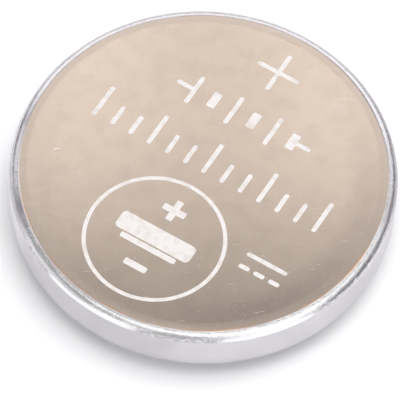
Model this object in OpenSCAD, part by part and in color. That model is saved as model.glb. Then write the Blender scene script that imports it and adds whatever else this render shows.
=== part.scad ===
// Lithium coin cell, 16 mm across and 3.2 mm high.
// Every piece is a turned section, so each module draws its section in radius and height and spins it.
// The cell stands on its negative contact at height zero, with its wide positive face on top.

/* [Cell] */
// Diameter over the positive can
cell_d = 16; // [15.8:0.05:16]
// Height over both contact faces
cell_h = 3.2; // [3:0.05:3.2]

/* [Positive can] */
// Thickness of the can's sheet
can_t = 0.2; // [0.15:0.01:0.25]
// Outer radius where the wide face turns down into the side wall
shoulder_r = 0.36; // [0.3:0.02:0.6]
// Radius of the gentle fall between the flat of the wide face and that shoulder
fall_r = 4; // [3:0.5:6]
// Angle that the face has turned down by where the shoulder begins
fall_angle = 6; // [2:1:8]
// Outer radius of the rim that is rolled in to close the cell
crimp_r = 1; // [0.9:0.05:1.1]
// Angle that the rolled rim runs on past its lowest ring, biting into the gasket
crimp_bite = 12; // [4:1:18]
// Height of the rolled rim's lowest ring above the negative contact
crimp_clear = 0.42; // [0.35:0.01:0.5]

/* [Sealing gasket] */
// Thickness of the plastic between the can and the cap
gasket_t = 0.25; // [0.2:0.01:0.3]
// Thickness of the gasket's foot under the cap's skirt
foot_t = 0.35; // [0.25:0.01:0.45]
// Thickness of the gasket's lip inside the skirt
lip_t = 0.3; // [0.2:0.01:0.4]
// Height of that lip over the foot
lip_h = 0.6; // [0.3:0.05:0.9]

/* [Negative cap] */
// Thickness of the cap's sheet
cap_t = 0.2; // [0.15:0.01:0.25]
// Diameter of the step that carries the negative contact
step_d = 12.9; // [12.85:0.05:13]
// Outer radius round the negative contact face
contact_r = 0.35; // [0.26:0.01:0.4]
// Radius in the corner between the step and the flange
root_r = 0.2; // [0.12:0.01:0.22]

/* [Electrodes] */
// Thickness of the lithium disc
lithium_t = 0.65; // [0.5:0.01:0.65]
// Thickness of the separator's felt
separator_t = 0.15; // [0.1:0.01:0.15]
// Diameter of the manganese dioxide tablet
pellet_d = 12; // [11.6:0.1:12]
// Thickness of the collector's sheet
collector_t = 0.1; // [0.05:0.01:0.1]

/* [Hidden] */
$fn = 96;

// The can: its inner faces and the centres that its three rounds turn about
cell_r = cell_d / 2;
can_floor_z = cell_h - can_t;
wall_in_r = cell_r - can_t;
fall_reach = fall_r - shoulder_r;
shoulder_c = [cell_r - shoulder_r, cell_h - fall_r + fall_reach * cos(fall_angle)];
fall_c = [shoulder_c[0] - fall_reach * sin(fall_angle), cell_h - fall_r];
crimp_c = [cell_r - crimp_r, crimp_clear + crimp_r];

// The cap: its shoulder shares the rolled rim's centre, one gasket thickness further in, and its skirt
// ends below the can's own shoulder
seat_r = crimp_r - can_t - gasket_t;
flange_z = crimp_c[1] - seat_r;
skirt_out_r = crimp_c[0] + seat_r;
skirt_in_r = skirt_out_r - cap_t;
skirt_end_z = min(can_floor_z - foot_t, shoulder_c[1]);
step_r = step_d / 2;
step_in_r = step_r - cap_t;
contact_c = [step_r - contact_r, contact_r];
root_c = [step_r + root_r, flange_z - root_r];

// The gasket follows the can's inner shoulder, and its visible ring lies a little above the rolled rim
corner_r = shoulder_r - can_t;
gasket_top_z = shoulder_c[1] + corner_r;
ring_sunk = 0.09;
ring_z = crimp_clear + ring_sunk;

// The stack between the two contacts
separator_z = cap_t + lithium_t;
pellet_z = separator_z + separator_t;
pellet_top_z = can_floor_z - collector_t;
pellet_r = pellet_d / 2;
separator_gap = 0.05;
separator_in_r = pellet_r + separator_gap;
separator_rim_h = 0.7;
collector_rim_h = 0.5;
lithium_gap = 0.15;
lithium_r = step_in_r - lithium_gap - separator_t;

// One quarter turn in degrees
quarter = 90;

// Flat band of the section between two radii and two heights
module band(r_in, r_out, z_low, z_high) {
    translate([r_in, z_low])
        square([r_out - r_in, z_high - z_low]);
}

// Wedge about the origin between two angles, counted anticlockwise from straight out
module wedge(reach, from, to) {
    polygon([[0, 0], for (a = [from, (from + to) / 2, to]) reach * [cos(a), sin(a)]]);
}

// Bent stretch of sheet about a centre
module bend(centre, r_out, r_in, from, to) {
    translate(centre)
        intersection() {
            difference() {
                circle(r_out);
                circle(r_in);
            }
            wedge(2 * r_out, from, to);
        }
}

// Bend that carries on from a gentler one, cut along that one's own ray so that the two meet on it
module next_bend(centre, r_out, r_in, gentle_centre, gentle_r, to) {
    intersection() {
        translate(centre)
            difference() {
                circle(r_out);
                circle(r_in);
            }
        translate(gentle_centre)
            wedge(2 * gentle_r, to - quarter / 2, to);
        band(gentle_centre[0], centre[0] + 2 * r_out, centre[1], centre[1] + 2 * r_out);
    }
}

// Solid fillet that fills one quarter of a circle
module quarter_round(centre, r, from) {
    translate(centre)
        intersection() {
            circle(r);
            wedge(2 * r, from, from + quarter);
        }
}

// Drawn cup with its wide face on top and its open rim rolled in over the gasket
module can_section() {
    band(0, fall_c[0], can_floor_z, cell_h);
    bend(fall_c, fall_r, fall_r - can_t, quarter - fall_angle, quarter);
    next_bend(shoulder_c, shoulder_r, corner_r, fall_c, fall_r, quarter - fall_angle);
    band(wall_in_r, cell_r, crimp_c[1], shoulder_c[1]);
    bend(crimp_c, crimp_r, crimp_r - can_t, -quarter - crimp_bite, 0);
}

// Part of the gasket that the rolled rim squeezes against the cap's flange and step
module pinched_section() {
    difference() {
        band(root_c[0], crimp_c[0], ring_z, flange_z);
        bend(crimp_c, 2 * crimp_r, crimp_r - can_t, -quarter - crimp_bite, -quarter / 2);
    }
    band(step_r, root_c[0], ring_z, root_c[1]);
    quarter_round(root_c, root_r, quarter);
    bend(crimp_c, crimp_r - can_t, seat_r, -quarter, 0);
}

// Ring that lines the can, with a channel in its foot for the cap's skirt
module gasket_section() {
    pinched_section();
    band(skirt_out_r, wall_in_r, crimp_c[1], shoulder_c[1]);
    band(skirt_in_r - lip_t, shoulder_c[0], skirt_end_z, gasket_top_z);
    quarter_round(shoulder_c, corner_r, 0);
    band(skirt_in_r - lip_t, skirt_in_r, skirt_end_z - lip_h, skirt_end_z);
}

// Drawn lid: contact face, step, flange and skirt in one sheet
module cap_section() {
    band(0, contact_c[0], 0, cap_t);
    bend(contact_c, contact_r, contact_r - cap_t, -quarter, 0);
    band(step_in_r, step_r, contact_c[1], root_c[1]);
    bend(root_c, root_r + cap_t, root_r, quarter, 2 * quarter);
    band(root_c[0], crimp_c[0], flange_z, flange_z + cap_t);
    bend(crimp_c, seat_r, seat_r - cap_t, -quarter, 0);
    band(skirt_in_r, skirt_out_r, crimp_c[1], skirt_end_z);
}

module positive_can() {
    color("#cfc2b6")
        rotate_extrude()
            can_section();
}

module sealing_gasket() {
    color("#dcdcd6")
        rotate_extrude()
            gasket_section();
}

module negative_cap() {
    color("#c9c6c2")
        rotate_extrude()
            cap_section();
}

// Shallow steel cup, welded to the can's inside, that holds the tablet
module cathode_collector() {
    color("#9a9a98")
        rotate_extrude() {
            band(0, pellet_r + collector_t, pellet_top_z, can_floor_z);
            band(pellet_r, pellet_r + collector_t, pellet_top_z - collector_rim_h, pellet_top_z);
        }
}

// Pressed tablet of manganese dioxide
module cathode_pellet() {
    color("#26262a")
        rotate_extrude()
            band(0, pellet_r, pellet_z, pellet_top_z);
}

// Dished disc of felt, with its edge turned up round the tablet
module separator() {
    color("#f2f0ea")
        rotate_extrude() {
            band(0, separator_in_r + separator_t, separator_z, pellet_z);
            band(separator_in_r, separator_in_r + separator_t, pellet_z, pellet_z + separator_rim_h);
        }
}

// Punched disc of lithium pressed into the cap's step
module lithium_anode() {
    color("#b4b6ba")
        rotate_extrude()
            band(0, lithium_r, cap_t, separator_z);
}

positive_can();
sealing_gasket();
negative_cap();
cathode_collector();
cathode_pellet();
separator();
lithium_anode();
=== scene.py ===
from math import asin, atan2, cos, degrees, pi, radians, sin

import bmesh
import bpy
from mathutils import Matrix, Vector


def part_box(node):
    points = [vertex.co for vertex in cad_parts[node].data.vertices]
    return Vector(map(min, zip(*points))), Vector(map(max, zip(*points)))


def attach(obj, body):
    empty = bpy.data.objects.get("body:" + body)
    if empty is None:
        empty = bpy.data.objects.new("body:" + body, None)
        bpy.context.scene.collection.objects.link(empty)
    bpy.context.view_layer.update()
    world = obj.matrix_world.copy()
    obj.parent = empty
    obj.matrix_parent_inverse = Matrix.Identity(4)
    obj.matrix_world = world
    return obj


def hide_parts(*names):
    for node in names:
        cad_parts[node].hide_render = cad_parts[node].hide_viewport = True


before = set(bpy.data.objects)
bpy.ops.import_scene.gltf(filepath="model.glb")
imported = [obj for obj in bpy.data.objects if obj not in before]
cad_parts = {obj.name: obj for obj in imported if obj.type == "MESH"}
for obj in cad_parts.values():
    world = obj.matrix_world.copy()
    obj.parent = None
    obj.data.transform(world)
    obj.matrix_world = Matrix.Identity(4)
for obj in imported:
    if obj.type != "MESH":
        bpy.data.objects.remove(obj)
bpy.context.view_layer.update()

# The positive can is one cup of nickel-plated steel sheet, drawn in a press: the wide face, a tight
# shoulder, the side wall, and the rim that is rolled in over the seal to close the cell.
# Its section is drawn in millimetres in the plane of radius and height, then turned about the axis.
MM = 0.001
can_low, can_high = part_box("positive_can")
cell_r = can_high.x / MM
cell_h = can_high.z / MM
can_t = 0.2
shoulder_r = 0.36
fall_r = 4.0
fall_angle = 6
crimp_r = 1.0
crimp_bite = 12
crimp_clear = can_low.z / MM
quarter = 90
full_turn = 360
can_facets = 360
arc_step = 5
weld_reach = 0.00001
sharp_angle = radians(32)

can_floor_z = cell_h - can_t
fall_reach = fall_r - shoulder_r
shoulder_c = (cell_r - shoulder_r, cell_h - fall_r + fall_reach * cos(radians(fall_angle)))
fall_c = (shoulder_c[0] - fall_reach * sin(radians(fall_angle)), cell_h - fall_r)
crimp_c = (cell_r - crimp_r, crimp_clear + crimp_r)
flat_edge = 0.06


def draw_straight(section, tip, r, z):
    """Draws the section on from its tip in a straight line to a radius and a height"""
    tip = bmesh.ops.extrude_vert_indiv(section, verts=[tip])["verts"][0]
    tip.co = (r, 0, z)
    return tip


def draw_bend(section, tip, centre, angle, step=arc_step):
    """Draws the section on round a centre; an angle above 0 turns from up towards out"""
    pieces = max(2, round(abs(angle) / step))
    bend = bmesh.ops.spin(section, geom=[tip], cent=(centre[0], 0, centre[1]), axis=(0, 1, 0),
                          dvec=(0, 0, 0), angle=radians(angle), steps=pieces)
    return [part for part in bend["geom_last"] if isinstance(part, bmesh.types.BMVert)][0]


def turn_about_axis(section, facets):
    """Turns a closed section into its solid, with the poles and the normals closed and outward"""
    bmesh.ops.spin(section, geom=section.verts[:] + section.edges[:], cent=(0, 0, 0), axis=(0, 0, 1),
                   dvec=(0, 0, 0), angle=radians(full_turn), steps=facets, use_merge=True)
    bmesh.ops.remove_doubles(section, verts=section.verts[:], dist=weld_reach)
    bmesh.ops.recalc_face_normals(section, faces=section.faces[:])


def piece_from(solid, name):
    """Puts a solid that was drawn in millimetres into the scene, smooth but for its sharp edges"""
    mesh = bpy.data.meshes.new(name)
    solid.to_mesh(mesh)
    solid.free()
    mesh.shade_smooth()
    mesh.set_sharp_from_angle(angle=sharp_angle)
    piece = bpy.data.objects.new(name, mesh)
    bpy.context.scene.collection.objects.link(piece)
    return piece


can = bmesh.new()
pole = can.verts.new((0, 0, cell_h))
tip = draw_straight(can, pole, fall_c[0] - flat_edge, cell_h)
tip = draw_straight(can, tip, fall_c[0], cell_h)
tip = draw_bend(can, tip, fall_c, fall_angle, step=1)
tip = draw_bend(can, tip, shoulder_c, quarter - fall_angle, step=4)
tip = draw_straight(can, tip, cell_r, crimp_c[1])
tip = draw_bend(can, tip, crimp_c, quarter + crimp_bite)
bite = radians(quarter + crimp_bite)
inner_r = crimp_r - can_t
tip = draw_straight(can, tip, crimp_c[0] + inner_r * cos(bite), crimp_c[1] - inner_r * sin(bite))
tip = draw_bend(can, tip, crimp_c, -quarter - crimp_bite)
tip = draw_straight(can, tip, cell_r - can_t, shoulder_c[1])
tip = draw_bend(can, tip, shoulder_c, fall_angle - quarter, step=12)
tip = draw_bend(can, tip, fall_c, -fall_angle, step=2)
tip = draw_straight(can, tip, 0, can_floor_z)
turn_about_axis(can, can_facets)
can = piece_from(can, "can_drawn")

# The marks are etched into the wide face by a laser, a hundredth of a millimetre deep, and show pale and
# matt. They are the polarity sign and plain electrical signs: plates of a battery, a scale of strokes,
# a ring round a cell on its side with its two poles, and the sign for direct current.
row_turn = radians(-29)
stroke = 0.2
etch_depth = 0.01
etch_rise = 0.05

marks = bmesh.new()


def on_face(u, v, turn=0.0):
    """Place on the wide face, from the centre along the rows and up across them"""
    return (Matrix.Rotation(row_turn, 4, "Z") @ Matrix.Translation((u, v, cell_h))
            @ Matrix.Rotation(radians(turn), 4, "Z"))


def etch_bar(u, v, length, width, turn=0.0, corner=0.45):
    """Etches a bar with rounded ends"""
    earlier = set(marks.verts)
    size = Matrix.Diagonal((length, width, etch_depth + etch_rise, 1))
    lift = Matrix.Translation((0, 0, (etch_rise - etch_depth) / 2))
    bar = bmesh.ops.create_cube(marks, size=1, matrix=lift @ size)
    uprights = {e for vert in bar["verts"] for e in vert.link_edges
                if abs(e.verts[0].co.z - e.verts[1].co.z) > etch_depth}
    bmesh.ops.bevel(marks, geom=list(uprights), offset=corner * min(width, length), segments=4,
                    profile=0.5, affect="EDGES", material=-1)
    bar = [vert for vert in marks.verts if vert not in earlier]
    bmesh.ops.transform(marks, matrix=on_face(u, v, turn), verts=bar)


def etch_ring(u, v, r_mid, width, facets=120):
    """Etches a ring"""
    earlier = set(marks.verts)
    outline = bmesh.ops.create_grid(marks, x_segments=1, y_segments=1, size=0.5)["verts"]
    upright = Matrix.Diagonal((width, 1, etch_depth + etch_rise, 1)) @ Matrix.Rotation(radians(90), 4, "X")
    place = Matrix.Translation((r_mid, 0, (etch_rise - etch_depth) / 2))
    bmesh.ops.transform(marks, matrix=place @ upright, verts=outline)
    square = outline[0].link_faces[0]
    outline = list(square.verts) + list(square.edges)
    bmesh.ops.delete(marks, geom=[square], context="FACES_ONLY")
    bmesh.ops.spin(marks, geom=outline, cent=(0, 0, 0), axis=(0, 0, 1), dvec=(0, 0, 0),
                   angle=radians(full_turn), steps=facets, use_merge=True)
    ring = [vert for vert in marks.verts if vert not in earlier]
    bmesh.ops.transform(marks, matrix=on_face(u, v), verts=ring)


# Polarity sign
plus_u = 0.14
plus_v = 5.73
plus_length = 1.97
for turn in (0, quarter):
    etch_bar(plus_u, plus_v, plus_length, stroke, turn)

# Plates of a battery of three cells, long and short in turn, between two leads
plates_v = 3.14
plate_count = 6
plate_mid = (plate_count - 1) / 2
plate_pitch = 0.95
long_plate = 1.5
short_plate = 0.8
thick_stroke = 1.9 * stroke
square_corner = 0.2
lead = 0.85
for k in range(plate_count):
    plate_u = (k - plate_mid) * plate_pitch
    if k % 2:
        etch_bar(plate_u, plates_v, short_plate, thick_stroke, quarter, corner=square_corner)
    else:
        etch_bar(plate_u, plates_v, long_plate, stroke, quarter)
for side in (-1, 1):
    etch_bar(side * (plate_mid * plate_pitch + lead / 2), plates_v, lead, stroke)

# Scale of strokes, every third one tall
scale_v = 0.67
scale_count = 13
scale_pitch = 0.88
tall_stroke = 1.6
low_stroke = 1.0
for k in range(scale_count):
    height = low_stroke if k % 3 else tall_stroke
    stroke_u = (k - scale_count // 2) * scale_pitch
    etch_bar(stroke_u, scale_v + (height - tall_stroke) / 2, height, stroke, quarter)

# Ring round a coin cell seen from its side, with its positive pole up
ring_v = -3.86
ring_r = 2.89
ring_width = 0.17
small_can = (3.5, 0.85)
small_cap = (2.6, 0.26)
sign_stroke = (1.05, 0.3)
etch_ring(0, ring_v, ring_r, ring_width)
etch_bar(0, ring_v + 0.1, *small_can, corner=0.22)
etch_bar(0, ring_v - 0.52, *small_cap, corner=0.3)
for turn in (0, quarter):
    etch_bar(0, ring_v + 1.55, *sign_stroke, turn, corner=square_corner)
etch_bar(0, ring_v - 1.5, *sign_stroke, corner=square_corner)

# Sign for direct current: one line over three dashes
current_u = 4.5
current_v = -2.75
current_gap = 0.32
line_length = 1.9
dash_length = 0.5
dash_pitch = 0.7
etch_bar(current_u, current_v + current_gap, line_length, stroke)
for k in (-1, 0, 1):
    etch_bar(current_u + k * dash_pitch, current_v - current_gap, dash_length, stroke)

# Nick near the edge of the face
nick = (-6.11, 0.68)
nick_length = 0.24
nick_width = 0.06
nick_slant = 12
nick_r = Vector(nick).length
nick_turn = atan2(nick[1], nick[0]) - row_turn
etch_bar(nick_r * cos(nick_turn), nick_r * sin(nick_turn), nick_length, nick_width,
         turn=degrees(-row_turn) + nick_slant)

bmesh.ops.recalc_face_normals(marks, faces=marks.faces[:])
marks = piece_from(marks, "marks_tool")

# One finish does the whole can. The face is satin nickel with a warm tint, with painted shade towards its
# near right edge, a thin brown line of painted reflection along its edge, thin lines of tarnish, specks and
# fine scratches. The shoulder carries a painted highlight but for a ring of painted shade on its outer
# half, and the wall keeps faint lines from the draw, with painted shade at its right and low down and
# painted light at its left.


def feed(tree, socket, value):
    """Joins a socket to another node's output, or sets it to a plain value"""
    if isinstance(value, bpy.types.NodeSocket):
        tree.links.new(value, socket)
    else:
        socket.default_value = value


def work_out(tree, operation, first, second=0.0):
    """One step of arithmetic"""
    node = tree.nodes.new("ShaderNodeMath")
    node.operation = operation
    feed(tree, node.inputs[0], first)
    feed(tree, node.inputs[1], second)
    return node.outputs[0]


def times(tree, first, second):
    """Product of two levels"""
    return work_out(tree, "MULTIPLY", first, second)


def ramp_between(tree, value, low, high, to_low=0.0, to_high=1.0):
    """Smooth change from one level to another while a value goes from low to high"""
    node = tree.nodes.new("ShaderNodeMapRange")
    node.interpolation_type = "SMOOTHSTEP"
    feed(tree, node.inputs["Value"], value)
    node.inputs["From Min"].default_value = low
    node.inputs["From Max"].default_value = high
    node.inputs["To Min"].default_value = to_low
    node.inputs["To Max"].default_value = to_high
    return node.outputs["Result"]


def blend_colours(tree, share, first, second):
    """Mixes two colours, each a node's output or three linear values"""
    node = tree.nodes.new("ShaderNodeMix")
    node.data_type = "RGBA"
    feed(tree, node.inputs["Factor"], share)
    feed(tree, node.inputs["A"], first if isinstance(first, bpy.types.NodeSocket) else (*first, 1))
    feed(tree, node.inputs["B"], second if isinstance(second, bpy.types.NodeSocket) else (*second, 1))
    return node.outputs["Result"]


def grain(tree, place, per_metre, detail=2.0, stretch=(1, 1, 1), turn=0.0):
    """Noise from 0 to 1 about a half, at so many blots to the metre"""
    mapping = tree.nodes.new("ShaderNodeMapping")
    mapping.inputs["Scale"].default_value = stretch
    mapping.inputs["Rotation"].default_value = (0, 0, turn)
    feed(tree, mapping.inputs["Vector"], place)
    node = tree.nodes.new("ShaderNodeTexNoise")
    node.inputs["Scale"].default_value = per_metre
    node.inputs["Detail"].default_value = detail
    feed(tree, node.inputs["Vector"], mapping.outputs["Vector"])
    return node.outputs["Fac"]


def stack_bumps(tree, bumps):
    """Lays bumps over each other, each a height and how deep it is in metres"""
    normal = None
    for height, depth in bumps:
        node = tree.nodes.new("ShaderNodeBump")
        node.inputs["Strength"].default_value = 1
        node.inputs["Distance"].default_value = depth
        feed(tree, node.inputs["Height"], height)
        if normal:
            tree.links.new(normal, node.inputs["Normal"])
        normal = node.outputs["Normal"]
    return normal


def new_finish(name, metallic):
    """Starts a finish, and returns it with its tree, its shader and the place on the piece"""
    finish = bpy.data.materials.new(name)
    finish.use_nodes = True
    tree = finish.node_tree
    shader = tree.nodes["Principled BSDF"]
    shader.inputs["Metallic"].default_value = metallic
    place = tree.nodes.new("ShaderNodeTexCoord").outputs["Object"]
    return finish, tree, shader, place


def round_place(tree, place):
    """Radius and height in metres, and the place for patterns that run along the rim"""
    split = tree.nodes.new("ShaderNodeSeparateXYZ")
    feed(tree, split.inputs["Vector"], place)
    x, y, height = split.outputs
    radius = work_out(tree, "SQRT", work_out(tree, "ADD", times(tree, x, x), times(tree, y, y)))
    along = tree.nodes.new("ShaderNodeCombineXYZ")
    feed(tree, along.inputs["X"], x)
    feed(tree, along.inputs["Y"], y)
    sloped = work_out(tree, "SUBTRACT", height, times(tree, radius, 0.5))
    feed(tree, along.inputs["Z"], sloped)
    return radius, height, along.outputs["Vector"]


def specks(tree, place, per_metre, reach, share, length=1, turn=0.0):
    """Scattered specks of a half width in metres, so many times as long, kept in a share of the cells"""
    mapping = tree.nodes.new("ShaderNodeMapping")
    mapping.inputs["Rotation"].default_value = (0, 0, turn)
    mapping.inputs["Scale"].default_value = (1 / length, 1, 1)
    feed(tree, mapping.inputs["Vector"], place)
    node = tree.nodes.new("ShaderNodeTexVoronoi")
    node.voronoi_dimensions = "2D"
    node.inputs["Scale"].default_value = per_metre
    feed(tree, node.inputs["Vector"], mapping.outputs["Vector"])
    near = ramp_between(tree, node.outputs["Distance"], 0, reach * per_metre, 1, 0)
    pick = tree.nodes.new("ShaderNodeSeparateColor")
    feed(tree, pick.inputs["Color"], node.outputs["Color"])
    kept = work_out(tree, "LESS_THAN", pick.outputs["Red"], share)
    return times(tree, near, kept)


def off_radius(tree, radius, ring_r):
    """How far a radius is from a ring's own, either way, in metres"""
    return work_out(tree, "ABSOLUTE", work_out(tree, "SUBTRACT", radius, ring_r * MM))


def turned_to(tree, nearward, rightward, direction):
    """How squarely a place faces a direction, which is given as its near and its right share"""
    return work_out(tree, "ADD", times(tree, nearward, direction[0]),
                    times(tree, rightward, direction[1]))


face_nickel = (0.805, 0.667, 0.552)
band_nickel = (0.665, 0.555, 0.472)
band_tarnish = (0.5, 0.36, 0.26)
# Painted shade for the face's near right edge
edge_shade_nickel = (0.36, 0.28, 0.27)
wall_nickel = (0.585, 0.572, 0.595)
# Painted shade for the rolled-in rim
rim_shade_nickel = (0.46, 0.45, 0.46)
# Painted highlight for the shoulder
highlight_nickel = (0.95, 0.94, 0.94)
# Painted light: the weaker highlight at the shoulder's far side and the paler left of the wall
far_nickel = (0.86, 0.83, 0.85)
# Painted shade for the shoulder's ring and sides, the seam and the right of the wall
shade_nickel = (0.42, 0.4, 0.43)
# Painted reflection for the thin brown line at the face's edge
brown_reflection = (0.85, 0.5, 0.28)
bright_speck = (0.95, 0.9, 0.84)
band_r = 7.32
# Radius of the thin brown line of painted reflection
brown_line_r = 7.575
seam_r = 7.63
edge_shade_facing = (0.64, 0.77)
# Directions where the shoulder's painted highlight is kept clear of painted shade
left_highlight_facing = (0.829, -0.559)
right_highlight_facing = (0.927, 0.375)

can_finish, tree, shader, place = new_finish("can_nickel", metallic=1)
radius, height, rim_place = round_place(tree, place)
split = tree.nodes.new("ShaderNodeSeparateXYZ")
feed(tree, split.inputs["Vector"], place)
far_side = ramp_between(tree, split.outputs["Y"], -3 * MM, 3 * MM)
rightward = work_out(tree, "DIVIDE", split.outputs["X"], radius)
nearward = work_out(tree, "DIVIDE", split.outputs["Y"], times(tree, radius, -1))
on_top = ramp_between(tree, height, 2.9 * MM, 3.0 * MM)
inside_edge = ramp_between(tree, radius, 7.56 * MM, 7.66 * MM, 1, 0)
face_share = times(tree, on_top, inside_edge)
outside_edge = ramp_between(tree, radius, 7.58 * MM, 7.66 * MM)
shoulder_share = times(tree, outside_edge, ramp_between(tree, height, 2.84 * MM, 3.05 * MM))

# The face is blotted and mottled, with a cooler band round its far edge, and painted shade darkens its near
# right edge
blots = grain(tree, place, 170, detail=3)
face_tone = blend_colours(tree, ramp_between(tree, blots, 0.3, 0.7), face_nickel,
                          tuple(0.95 * c for c in face_nickel))
mottle = ramp_between(tree, grain(tree, place, 1300, detail=4), 0.4, 0.7, 0, 0.12)
face_tone = blend_colours(tree, mottle, face_tone, tuple(0.6 * c for c in face_nickel))
wander = times(tree, work_out(tree, "SUBTRACT", blots, 0.5), 0.25 * MM)
band_edge = work_out(tree, "ADD", radius, wander)
outer_band = ramp_between(tree, band_edge, 7.26 * MM, 7.4 * MM)
# Painted shade: the face is darker towards its near right edge
edge_shade_turn = turned_to(tree, nearward, rightward, edge_shade_facing)
edge_shade = times(tree, ramp_between(tree, radius, 5.7 * MM, 6.9 * MM),
                ramp_between(tree, edge_shade_turn, 0.5, 0.95, 0.35, 1))
edge_shade = times(tree, edge_shade, ramp_between(tree, nearward, -0.75, -0.45))
face_tone = blend_colours(tree, times(tree, edge_shade, 0.28), face_tone, edge_shade_nickel)
face_tone = blend_colours(tree, times(tree, outer_band, far_side), face_tone, band_nickel)

# A thin brown line of painted reflection lies along the edge of the face, mostly its near edge, and thin
# lines of tarnish lie along the far band
ring_blots = grain(tree, place, 420, detail=4)
off_ring = off_radius(tree, radius, brown_line_r)
brown_line = times(tree, ramp_between(tree, off_ring, 0.01 * MM, 0.07 * MM, 1, 0),
                  ramp_between(tree, ring_blots, 0.35, 0.6))
near_side = ramp_between(tree, split.outputs["Y"], -4.5 * MM, 0, 1, 0.1)
brown_line = times(tree, brown_line, near_side)
band_blots = grain(tree, place, 1100, detail=3)
off_band = off_radius(tree, band_edge, band_r)
band_line = times(tree, ramp_between(tree, off_band, 0.01 * MM, 0.04 * MM, 1, 0),
                  ramp_between(tree, band_blots, 0.5, 0.66))
band_share = times(tree, band_line, times(tree, far_side, 0.4))
face_tone = blend_colours(tree, band_share, face_tone, band_tarnish)

# The wall is cooler and clouded; it carries painted shade to the right, painted light at the left, and
# painted shade low down where it rolls in
clouds = ramp_between(tree, grain(tree, place, 420, detail=3, stretch=(1, 1, 0.6)), 0.35, 0.65)
wall_tone = blend_colours(tree, clouds, tuple(0.93 * c for c in wall_nickel),
                          tuple(1.05 * c for c in wall_nickel))
# Painted shade on the right of the wall
right_wall_shade = ramp_between(tree, split.outputs["X"], 4 * MM, 7 * MM, 0, 0.65)
wall_tone = blend_colours(tree, right_wall_shade, wall_tone, shade_nickel)
# Painted light on the left of the wall
left_wall_light = ramp_between(tree, split.outputs["X"], -7.7 * MM, -6.9 * MM, 0.6, 0)
wall_tone = blend_colours(tree, left_wall_light, wall_tone, far_nickel)
surface = blend_colours(tree, face_share, wall_tone, face_tone)
# Painted shade low on the wall, where it rolls in
surface = blend_colours(tree, ramp_between(tree, height, 0.9 * MM, 1.5 * MM, 1, 0), surface, rim_shade_nickel)

# The shoulder carries a painted highlight, weaker at the far side, with painted shade at the left and right
painted_highlight = blend_colours(tree, ramp_between(tree, nearward, -0.5, 0, 1, 0), highlight_nickel, far_nickel)
left_shade_share = work_out(tree, "SUBTRACT", ramp_between(tree, rightward, -0.97, -0.87, 0.85, 0),
                      ramp_between(tree, rightward, -1, -0.96, 0.3, 0))
side_shade_share = work_out(tree, "MAXIMUM", left_shade_share, ramp_between(tree, rightward, 0.93, 0.99, 0, 0.5))
painted_highlight = blend_colours(tree, side_shade_share, painted_highlight, shade_nickel)
highlight_drop = ramp_between(tree, nearward, -0.4, 0.25, 0.24 * MM, 0)
highlight_height = work_out(tree, "SUBTRACT", height, highlight_drop)
highlight_share = times(tree, outside_edge, ramp_between(tree, highlight_height, 2.84 * MM, 2.96 * MM))
surface = blend_colours(tree, highlight_share, surface, painted_highlight)

# A ring of painted shade on the shoulder's outer half, a little higher at the right, is left out in two
# stretches where the painted highlight stays
ring_rise = ramp_between(tree, rightward, 0.5, 0.9, 0, 0.06 * MM)
ring_height = work_out(tree, "SUBTRACT", height, ring_rise)
shade_ring = times(tree, ramp_between(tree, ring_height, 2.83 * MM, 2.93 * MM),
                  ramp_between(tree, ring_height, 3.0 * MM, 3.07 * MM, 1, 0))
# Painted highlight: the two stretches where the ring of painted shade is left out
highlight_left = ramp_between(tree, turned_to(tree, nearward, rightward, left_highlight_facing), 0.95, 0.98)
highlight_right = ramp_between(tree, turned_to(tree, nearward, rightward, right_highlight_facing), 0.955, 0.985)
shade_kept = work_out(tree, "SUBTRACT", 1, work_out(tree, "MAXIMUM", highlight_left, highlight_right))
ragged = ramp_between(tree, grain(tree, rim_place, 7000, detail=3), 0.4, 0.56, 0.6, 1.08)
ring_shade_share = times(tree, times(tree, shade_ring, shade_kept), ragged)
surface = blend_colours(tree, times(tree, ring_shade_share, 0.9), surface, shade_nickel)
# The thin brown line of painted reflection along the face's edge
brown_line_share = times(tree, times(tree, brown_line, on_top), 0.75)
surface = blend_colours(tree, brown_line_share, surface, brown_reflection)

# The seam between the face and the shoulder carries a line of painted shade at the near left
off_seam = off_radius(tree, radius, seam_r)
seam_shade = times(tree, ramp_between(tree, off_seam, 0.02 * MM, 0.08 * MM, 0.6, 0),
             ramp_between(tree, rightward, -0.7, 0.1, 1, 0))
seam_shade = times(tree, seam_shade, ramp_between(tree, nearward, 0.2, 0.6))
surface = blend_colours(tree, times(tree, seam_shade, on_top), surface, shade_nickel)

# Specks, short scratches and faint strokes show bright on the face, thicker in some patches
dust = specks(tree, place, 2600, 0.03 * MM, 0.34)
for turn in (0.4, 1.1, 2.2, 2.9):
    dust = work_out(tree, "MAXIMUM", dust, specks(tree, place, 1700, 0.022 * MM, 0.24, length=8, turn=turn))
patches = ramp_between(tree, grain(tree, place, 300, detail=1), 0.4, 0.6, 0.35, 1)
dust = times(tree, dust, patches)
dust = times(tree, dust, face_share)
haze = ramp_between(tree, grain(tree, place, 260, detail=3, stretch=(1, 0.5, 1), turn=0.6), 0.5, 0.72)
strokes = ramp_between(tree, grain(tree, place, 5200, detail=2, stretch=(0.12, 1, 1), turn=-0.7), 0.45, 0.7)
haze = times(tree, times(tree, haze, strokes), face_share)
surface = blend_colours(tree, times(tree, haze, 0.16), surface, bright_speck)
surface = blend_colours(tree, times(tree, dust, 0.6), surface, bright_speck)
feed(tree, shader.inputs["Base Color"], surface)

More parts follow.
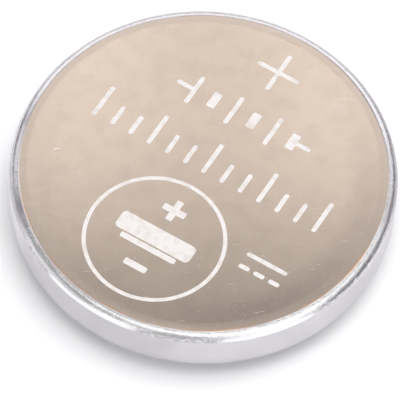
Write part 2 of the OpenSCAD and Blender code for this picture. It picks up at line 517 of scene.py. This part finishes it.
# The polish is coarser in a band at the edge of the face, and under the specks
fine = grain(tree, place, 9000, detail=2)
roughness = work_out(tree, "ADD", ramp_between(tree, band_edge, 7.15 * MM, 7.45 * MM, 0.225, 0.31),
                     ramp_between(tree, radius, 7.58 * MM, 7.68 * MM, 0, -0.08))
roughness = work_out(tree, "ADD", roughness, times(tree, dust, 0.2))
roughness = work_out(tree, "ADD", roughness, times(tree, fine, 0.03))
feed(tree, shader.inputs["Roughness"], roughness)

# The relief is low waves all over, draw lines down the wall, and dents, wear and grit on the shoulder
drawn = grain(tree, place, 5000, detail=1, stretch=(1, 1, 0.1))
worn = grain(tree, rim_place, 9000, detail=4, stretch=(0.3, 0.3, 1))
grit = grain(tree, rim_place, 12000, detail=2)
dented = grain(tree, rim_place, 1500, detail=2, stretch=(0.5, 0.5, 1))
wall_share = work_out(tree, "SUBTRACT", 1, face_share)
drawn_wall = times(tree, drawn, wall_share)
feed(tree, shader.inputs["Normal"], stack_bumps(tree, [
    (grain(tree, place, 900, detail=2), 0.0006 * MM),
    (drawn_wall, 0.002 * MM),
    (times(tree, dented, shoulder_share), 0.02 * MM),
    (times(tree, worn, shoulder_share), 0.015 * MM),
    (times(tree, grit, shoulder_share), 0.012 * MM)]))

# The etched marks keep the fine hatching of the laser and are pale in patches
etched_pale = (1.0, 0.95, 0.92)
etched_dull = (0.9, 0.83, 0.78)
etched_finish, tree, shader, place = new_finish("etched_nickel", metallic=0)
patch = grain(tree, place, 2600, detail=3)
feed(tree, shader.inputs["Base Color"], blend_colours(tree, ramp_between(tree, patch, 0.45, 0.66),
                                                       etched_pale, etched_dull))
shader.inputs["Roughness"].default_value = 0.6
hatch = tree.nodes.new("ShaderNodeTexWave")
hatch.inputs["Scale"].default_value = 10000
hatch.inputs["Distortion"].default_value = 1.5
feed(tree, hatch.inputs["Vector"], place)
feed(tree, shader.inputs["Normal"], stack_bumps(tree, [(hatch.outputs["Fac"], 0.003 * MM),
                                                        (patch, 0.01 * MM)]))

can.data.materials.append(can_finish)
marks.data.materials.append(etched_finish)
etching = can.modifiers.new("etching", "BOOLEAN")
etching.object = marks
etching.operation = "DIFFERENCE"
etching.solver = "EXACT"
etching.use_self = True
etching.material_mode = "TRANSFER"


def finished_mesh(piece):
    """Applies what the piece still has on it, and brings it from millimetres to metres"""
    ready = bpy.data.meshes.new_from_object(piece.evaluated_get(bpy.context.evaluated_depsgraph_get()))
    ready.transform(Matrix.Scale(MM, 4))
    piece.modifiers.clear()
    piece.data = ready


finished_mesh(can)
can.data.set_sharp_from_angle(angle=sharp_angle)
bpy.data.objects.remove(marks)
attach(can, "root")
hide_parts("positive_can")

# The cathode collector is a shallow cup of thin stainless sheet. It is spot welded to the inside of the
# can's face, and its low rim grips the tablet and takes the current from it.
collector_low, collector_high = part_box("cathode_collector")
collector_t = 0.1
collector_bend = 0.16
collector_r = collector_high.x / MM
collector_top_z = collector_high.z / MM
collector_c = (collector_r - collector_bend, collector_top_z - collector_bend)
inner_facets = 180

collector = bmesh.new()
pole = collector.verts.new((0, 0, collector_top_z))
tip = draw_straight(collector, pole, collector_c[0], collector_top_z)
tip = draw_bend(collector, tip, collector_c, quarter, step=15)
tip = draw_straight(collector, tip, collector_r, collector_low.z / MM)
tip = draw_straight(collector, tip, collector_r - collector_t, collector_low.z / MM)
tip = draw_straight(collector, tip, collector_r - collector_t, collector_c[1])
tip = draw_bend(collector, tip, collector_c, -quarter, step=15)
tip = draw_straight(collector, tip, 0, collector_top_z - collector_t)
turn_about_axis(collector, inner_facets)
collector = piece_from(collector, "collector_cup")
finished_mesh(collector)

collector_finish, tree, shader, place = new_finish("collector_steel", metallic=1)
steel_shade = (0.55, 0.55, 0.555)
steel_light = (0.66, 0.655, 0.65)
rolled = grain(tree, place, 5000, detail=3, stretch=(0.04, 1, 1))
feed(tree, shader.inputs["Base Color"], blend_colours(tree, rolled, steel_shade, steel_light))
feed(tree, shader.inputs["Roughness"], ramp_between(tree, rolled, 0.3, 0.7, 0.26, 0.4))
feed(tree, shader.inputs["Normal"], stack_bumps(tree, [(rolled, 0.002 * MM)]))
collector.data.materials.append(collector_finish)
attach(collector, "root")
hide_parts("cathode_collector")

# The cathode pellet is a tablet of manganese dioxide with a little carbon, pressed hard in a die and
# dried. The die leaves a small slope round its edges, and it sits in the collector's cup.
pellet_low, pellet_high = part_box("cathode_pellet")
pellet_slope = 0.18


def turned_disc(low, high, slope, name):
    """Solid disc that fills a box in metres, with sloped edges"""
    r = high.x / MM
    disc = bmesh.new()
    tip = draw_straight(disc, disc.verts.new((0, 0, high.z / MM)), r - slope, high.z / MM)
    tip = draw_straight(disc, tip, r, high.z / MM - slope)
    tip = draw_straight(disc, tip, r, low.z / MM + slope)
    tip = draw_straight(disc, tip, r - slope, low.z / MM)
    tip = draw_straight(disc, tip, 0, low.z / MM)
    turn_about_axis(disc, inner_facets)
    disc = piece_from(disc, name)
    finished_mesh(disc)
    return disc


pellet = turned_disc(pellet_low, pellet_high, pellet_slope, "pellet_pressed")
pellet_finish, tree, shader, place = new_finish("pellet_black", metallic=0)
powder_shade = (0.03, 0.03, 0.034)
powder_light = (0.075, 0.075, 0.08)
crumb_grey = (0.14, 0.14, 0.145)
powder = grain(tree, place, 7000, detail=4)
crumbs = specks(tree, place, 4500, 0.06 * MM, 0.3)
black = blend_colours(tree, powder, powder_shade, powder_light)
black = blend_colours(tree, times(tree, crumbs, 0.5), black, crumb_grey)
feed(tree, shader.inputs["Base Color"], black)
feed(tree, shader.inputs["Roughness"], ramp_between(tree, powder, 0.3, 0.7, 0.7, 0.95))
feed(tree, shader.inputs["Normal"], stack_bumps(tree, [(powder, 0.02 * MM), (crumbs, -0.01 * MM)]))
pellet.data.materials.append(pellet_finish)
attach(pellet, "root")
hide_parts("cathode_pellet")

# The separator is a disc of nonwoven polypropylene felt that keeps the two electrodes apart and holds
# the electrolyte. It is laid over the tablet, and its edge is turned up round it.
separator_low, separator_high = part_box("separator")
separator_t = 0.15
separator_bend = 0.2
separator_r = separator_high.x / MM
separator_low_z = separator_low.z / MM
separator_c = (separator_r - separator_bend, separator_low_z + separator_bend)
felt_edge = 0.04

felt = bmesh.new()
tip = draw_straight(felt, felt.verts.new((0, 0, separator_low_z)), separator_c[0], separator_low_z)
tip = draw_bend(felt, tip, separator_c, -quarter, step=15)
tip = draw_straight(felt, tip, separator_r, separator_high.z / MM - felt_edge)
tip = draw_straight(felt, tip, separator_r - felt_edge, separator_high.z / MM)
tip = draw_straight(felt, tip, separator_r - separator_t + felt_edge, separator_high.z / MM)
tip = draw_straight(felt, tip, separator_r - separator_t, separator_high.z / MM - felt_edge)
tip = draw_straight(felt, tip, separator_r - separator_t, separator_c[1])
tip = draw_bend(felt, tip, separator_c, quarter, step=15)
tip = draw_straight(felt, tip, 0, separator_low_z + separator_t)
turn_about_axis(felt, inner_facets)
felt = piece_from(felt, "separator_felted")
finished_mesh(felt)

felt_finish, tree, shader, place = new_finish("separator_felt", metallic=0)
felt_shade = (0.8, 0.78, 0.74)
felt_light = (0.94, 0.93, 0.9)
fibres_per_metre = 3200
fibre_stretch = (0.12, 1, 1)
fibres = grain(tree, place, fibres_per_metre, detail=3, stretch=fibre_stretch)
for turn in (0.9, 1.7, 2.6):
    crossing = grain(tree, place, fibres_per_metre, detail=3, stretch=fibre_stretch, turn=turn)
    fibres = work_out(tree, "MAXIMUM", fibres, crossing)
raised = ramp_between(tree, fibres, 0.45, 0.75)
feed(tree, shader.inputs["Base Color"], blend_colours(tree, raised, felt_shade, felt_light))
shader.inputs["Roughness"].default_value = 0.95
shader.inputs["Sheen Weight"].default_value = 0.2
feed(tree, shader.inputs["Normal"], stack_bumps(tree, [(fibres, 0.03 * MM)]))
felt.data.materials.append(felt_finish)
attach(felt, "root")
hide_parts("separator")

# The sealing gasket is one moulded ring of natural polypropylene. It lines the can and holds the cap's
# skirt in its foot, and the rolled rim squeezes it, so a narrow bead of it shows under the cell.
gasket_facets = 240
gasket_t = 0.25
foot_t = 0.35
lip_t = 0.3
lip_h = 0.6
cap_t = 0.2
step_r = 6.45
root_r = 0.2
ring_sunk = 0.09
ring_z = crimp_clear + ring_sunk
bead_h = 0.03
seat_r = inner_r - gasket_t
flange_z = crimp_c[1] - seat_r
root_c = (step_r + root_r, flange_z - root_r)
skirt_out_r = crimp_c[0] + seat_r
skirt_in_r = skirt_out_r - cap_t
skirt_end_z = can_floor_z - foot_t
corner_r = shoulder_r - can_t

# The bead's outer end lies on the cut end of the rolled rim
rim_cut = (crimp_c[1] - ring_z) / sin(bite)
bead_end_r = crimp_c[0] + rim_cut * cos(bite)
bead_w = bead_end_r - step_r
bead_r = bead_w ** 2 / (8 * bead_h) + bead_h / 2
bead_c = (step_r + bead_w / 2, ring_z + bead_r - bead_h)

gasket = bmesh.new()
tip = gasket.verts.new((step_r, 0, ring_z))
tip = draw_bend(gasket, tip, bead_c, -2 * degrees(asin(bead_w / 2 / bead_r)), step=6)
tip = draw_straight(gasket, tip, crimp_c[0] + inner_r * cos(bite), crimp_c[1] - inner_r * sin(bite))
tip = draw_bend(gasket, tip, crimp_c, -quarter - crimp_bite, step=10)
tip = draw_straight(gasket, tip, cell_r - can_t, shoulder_c[1])
tip = draw_bend(gasket, tip, shoulder_c, -quarter, step=15)
tip = draw_straight(gasket, tip, skirt_in_r - lip_t, shoulder_c[1] + corner_r)
tip = draw_straight(gasket, tip, skirt_in_r - lip_t, skirt_end_z - lip_h)
tip = draw_straight(gasket, tip, skirt_in_r, skirt_end_z - lip_h)
tip = draw_straight(gasket, tip, skirt_in_r, skirt_end_z)
tip = draw_straight(gasket, tip, skirt_out_r, skirt_end_z)
tip = draw_straight(gasket, tip, skirt_out_r, crimp_c[1])
tip = draw_bend(gasket, tip, crimp_c, quarter, step=10)
tip = draw_straight(gasket, tip, root_c[0], flange_z)
tip = draw_bend(gasket, tip, root_c, -quarter, step=15)
tip = draw_straight(gasket, tip, step_r, ring_z)
turn_about_axis(gasket, gasket_facets)
gasket = piece_from(gasket, "gasket_moulded")
finished_mesh(gasket)

gasket_finish, tree, shader, place = new_finish("gasket_plastic", metallic=0)
plastic_shade = (0.74, 0.745, 0.72)
plastic_light = (0.86, 0.86, 0.84)
milky = grain(tree, place, 1400, detail=2)
feed(tree, shader.inputs["Base Color"], blend_colours(tree, milky, plastic_shade, plastic_light))
feed(tree, shader.inputs["Roughness"], ramp_between(tree, milky, 0.3, 0.7, 0.38, 0.5))
shader.inputs["Subsurface Weight"].default_value = 0.2
shader.inputs["Subsurface Scale"].default_value = 0.3 * MM
shader.inputs["IOR"].default_value = 1.49
feed(tree, shader.inputs["Normal"], stack_bumps(tree, [(grain(tree, place, 4000, detail=3), 0.006 * MM)]))
gasket.data.materials.append(gasket_finish)
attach(gasket, "root")
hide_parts("sealing_gasket")

# The lithium anode is a disc punched from soft lithium ribbon and pressed into the cap's step. Clean
# lithium is silvery, and it dulls to grey in patches as soon as it meets a trace of air.
lithium_low, lithium_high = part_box("lithium_anode")
lithium_slope = 0.07

lithium = turned_disc(lithium_low, lithium_high, lithium_slope, "lithium_punched")
lithium_finish, tree, shader, place = new_finish("lithium_metal", metallic=1)
lithium_clean = (0.7, 0.71, 0.73)
lithium_dull = (0.42, 0.43, 0.45)
bloom = ramp_between(tree, grain(tree, place, 420, detail=4), 0.4, 0.65)
ribbon = grain(tree, place, 3600, detail=3, stretch=(0.06, 1, 1))
feed(tree, shader.inputs["Base Color"], blend_colours(tree, bloom, lithium_clean, lithium_dull))
feed(tree, shader.inputs["Roughness"], work_out(tree, "ADD", 0.4, times(tree, bloom, 0.25)))
feed(tree, shader.inputs["Normal"], stack_bumps(tree, [(ribbon, 0.006 * MM), (bloom, 0.004 * MM)]))
lithium.data.materials.append(lithium_finish)
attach(lithium, "root")
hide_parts("lithium_anode")

# The negative cap is drawn from nickel-plated steel sheet: the contact face that the cell stands on, the
# step, the flange, and the skirt that stands in the gasket. Its shoulder shares the rolled rim's centre.
contact_r = 0.35
contact_c = (step_r - contact_r, contact_r)
cap_facets = 360

cap = bmesh.new()
tip = draw_straight(cap, cap.verts.new((0, 0, 0)), contact_c[0], 0)
tip = draw_bend(cap, tip, contact_c, -quarter)
tip = draw_straight(cap, tip, step_r, root_c[1])
tip = draw_bend(cap, tip, root_c, quarter, step=10)
tip = draw_straight(cap, tip, crimp_c[0], flange_z)
tip = draw_bend(cap, tip, crimp_c, -quarter, step=10)
tip = draw_straight(cap, tip, skirt_out_r, skirt_end_z)
tip = draw_straight(cap, tip, skirt_in_r, skirt_end_z)
tip = draw_straight(cap, tip, skirt_in_r, crimp_c[1])
tip = draw_bend(cap, tip, crimp_c, quarter, step=15)
tip = draw_straight(cap, tip, root_c[0], flange_z + cap_t)
tip = draw_bend(cap, tip, root_c, -quarter, step=10)
tip = draw_straight(cap, tip, step_r - cap_t, contact_c[1])
tip = draw_bend(cap, tip, contact_c, quarter, step=15)
tip = draw_straight(cap, tip, 0, cap_t)
turn_about_axis(cap, cap_facets)
cap = piece_from(cap, "cap_drawn")
finished_mesh(cap)

cap_finish, tree, shader, place = new_finish("cap_nickel", metallic=1)
cap_light = (0.8, 0.785, 0.76)
cap_shade = (0.74, 0.72, 0.69)
cap_scuffed = (0.92, 0.91, 0.89)
cap_blots = grain(tree, place, 260, detail=4)
cap_tone = blend_colours(tree, ramp_between(tree, cap_blots, 0.35, 0.65), cap_light, cap_shade)
sheet_lines = grain(tree, place, 6000, detail=3, stretch=(0.05, 1, 1))
scuffs = specks(tree, place, 900, 0.03 * MM, 0.2)
for turn in (0.3, 1.2, 1.9, 2.7):
    scratches = specks(tree, place, 1300, 0.03 * MM, 0.14, length=8, turn=turn)
    scuffs = work_out(tree, "MAXIMUM", scuffs, scratches)
cap_tone = blend_colours(tree, times(tree, scuffs, 0.6), cap_tone, cap_scuffed)
feed(tree, shader.inputs["Base Color"], cap_tone)
cap_roughness = work_out(tree, "ADD", 0.22, times(tree, sheet_lines, 0.12))
feed(tree, shader.inputs["Roughness"], work_out(tree, "ADD", cap_roughness, times(tree, scuffs, 0.15)))
feed(tree, shader.inputs["Normal"], stack_bumps(tree, [(sheet_lines, 0.002 * MM), (scuffs, -0.002 * MM)]))
cap.data.materials.append(cap_finish)
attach(cap, "root")
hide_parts("negative_cap")

# The floor is a plain pale table that keeps the cell's shadow. It is paler for the camera and for
# reflections than for the light that it throws back, so it ends in white.
floor_low = -0.01 * MM
floor_r = 0.6
floor_facets = 96
floor_tone = (0.9, 0.9, 0.9)
seen_tone = (1.3, 1.3, 1.3)
floor = bmesh.new()
bmesh.ops.create_circle(floor, cap_ends=True, segments=floor_facets, radius=floor_r,
                        matrix=Matrix.Translation((0, 0, floor_low)))
floor_mesh = bpy.data.meshes.new("floor")
floor.to_mesh(floor_mesh)
floor.free()
floor = bpy.data.objects.new("floor", floor_mesh)
bpy.context.scene.collection.objects.link(floor)
table = bpy.data.materials.new("table_white")
table.use_nodes = True
tree = table.node_tree
cloth = tree.nodes.new("ShaderNodeBsdfDiffuse")
rays = tree.nodes.new("ShaderNodeLightPath")
looked_at = work_out(tree, "MAXIMUM", rays.outputs["Is Camera Ray"], rays.outputs["Is Glossy Ray"])
looked_at = work_out(tree, "MAXIMUM", looked_at, rays.outputs["Is Transmission Ray"])
feed(tree, cloth.inputs["Color"], blend_colours(tree, looked_at, floor_tone, seen_tone))
tree.links.new(cloth.outputs["BSDF"], tree.nodes["Material Output"].inputs["Surface"])
floor.data.materials.append(table)

# The studio is a dim, even room that is darker overhead, and white where the camera looks into it.
room_tone = (1.0, 0.985, 1.06)
seen_white = (1, 1, 1)
world = bpy.data.worlds.new("studio")
bpy.context.scene.world = world
world.use_nodes = True
tree = world.node_tree
sky = tree.nodes["Background"]
rays = tree.nodes.new("ShaderNodeLightPath")
seen = rays.outputs["Is Camera Ray"]
feed(tree, sky.inputs["Color"], blend_colours(tree, seen, room_tone, seen_white))
towards = tree.nodes.new("ShaderNodeSeparateXYZ")
feed(tree, towards.inputs["Vector"], tree.nodes.new("ShaderNodeTexCoord").outputs["Generated"])
level = ramp_between(tree, towards.outputs["Z"], 0.4, 0.85, 0.28, 0.11)
feed(tree, sky.inputs["Strength"], work_out(tree, "MAXIMUM", level, seen))

# Soft light comes from panels: the cards show in the nickel only, and the lamps light matt surfaces only.
watts_per_level = pi


def add_panel(name, at, facing, size, level, seen_in):
    """Soft panel that shines from a place towards another, in metres, on gloss or on matt surfaces"""
    lamp = bpy.data.lights.new(name, "AREA")
    lamp.shape = "RECTANGLE"
    lamp.size, lamp.size_y = size
    lamp.energy = level * watts_per_level * size[0] * size[1]
    panel = bpy.data.objects.new(name, lamp)
    panel.location = at
    panel.rotation_euler = (Vector(facing) - Vector(at)).to_track_quat("-Z", "Y").to_euler()
    panel.visible_glossy = seen_in == "gloss"
    panel.visible_diffuse = seen_in == "matt"
    bpy.context.scene.collection.objects.link(panel)


cell_at = (0, 0, 0.003)
card_z = 0.066
back_edge = 0.033
back_deep = 0.12
for name, back_x in (("back_left_card", -0.0457), ("back_right_card", 0.0457)):
    back_y = back_edge + back_deep / 2
    add_panel(name, (back_x, back_y, card_z), (back_x, back_y, 0), (0.0894, back_deep), 1.04, "gloss")
add_panel("top_card", (0.0225, -0.016, card_z), (0.0225, -0.016, 0), (0.105, 0.062), 0.92, "gloss")
add_panel("high_card", (0.038, 0.02, card_z), (0.038, 0.02, 0), (0.024, 0.016), 0.95, "gloss")
add_panel("right_card", (0.055, -0.078, 0.055), cell_at, (0.08, 0.12), 0.8, "gloss")
add_panel("left_card", (-0.063, -0.08, 0.03), cell_at, (0.05, 0.08), 0.76, "gloss")
add_panel("side_card", (-0.1, 0, 0.03), cell_at, (0.12, 0.08), 0.35, "gloss")
add_panel("fill_card", (-0.05, -0.035, card_z), cell_at, (0.12, 0.12), 0.15, "gloss")
add_panel("front_card", (0, -0.11, 0.03), cell_at, (0.06, 0.08), 0.25, "gloss")
add_panel("far_card", (0, 0.13, 0.015), cell_at, (0.2, 0.05), 0.4, "gloss")
add_panel("top_lamp", (0, 0.0001, 0.34), cell_at, (0.22, 0.22), 3.0, "matt")
add_panel("front_left_lamp", (-0.09, -0.156, 0.288), cell_at, (0.2, 0.2), 0.7, "matt")
add_panel("right_lamp", (0.174, -0.047, 0.288), cell_at, (0.22, 0.2), 1.0, "matt")
add_panel("front_right_lamp", (0.134, -0.232, 0.209), cell_at, (0.2, 0.2), 1.0, "matt")
add_panel("back_right_lamp", (0.189, 0.189, 0.209), cell_at, (0.26, 0.2), 1.5, "matt")
add_panel("back_lamp", (-0.021, 0.24, 0.24), cell_at, (0.2, 0.2), 0.6, "matt")
add_panel("left_lamp", (-0.255, -0.135, 0.18), cell_at, (0.18, 0.16), 0.8, "matt")
add_panel("low_lamp", (-0.27, -0.189, 0.082), cell_at, (0.2, 0.1), 0.6, "matt")

# The camera stands where the photograph was taken from, so many millimetres from the cell's middle.
lens_mm = 450
nearest_seen = 0.01
camera_far = 206.98
camera_rise = radians(58.79)
camera_roll = radians(-2.93)
camera_yaw = radians(-0.0285)
camera_pitch = radians(0.1115)
back = Vector((0, -cos(camera_rise), sin(camera_rise)))
up = Vector((0, sin(camera_rise), cos(camera_rise)))
look = Matrix((Vector((1, 0, 0)), up, back))
look = (Matrix.Rotation(camera_roll, 3, "Z") @ Matrix.Rotation(camera_pitch, 3, "X")
        @ Matrix.Rotation(camera_yaw, 3, "Y") @ look)
lens = bpy.data.cameras.new("camera")
lens.lens = lens_mm
lens.clip_start = nearest_seen
camera = bpy.data.objects.new("camera", lens)
middle = Vector((0, 0, cell_h / 2))
camera_at = Matrix.Translation((middle + camera_far * back) * MM)
camera.matrix_world = camera_at @ look.transposed().to_4x4()
bpy.context.scene.collection.objects.link(camera)
bpy.context.scene.camera = camera
bpy.context.scene.view_settings.view_transform = "Standard"
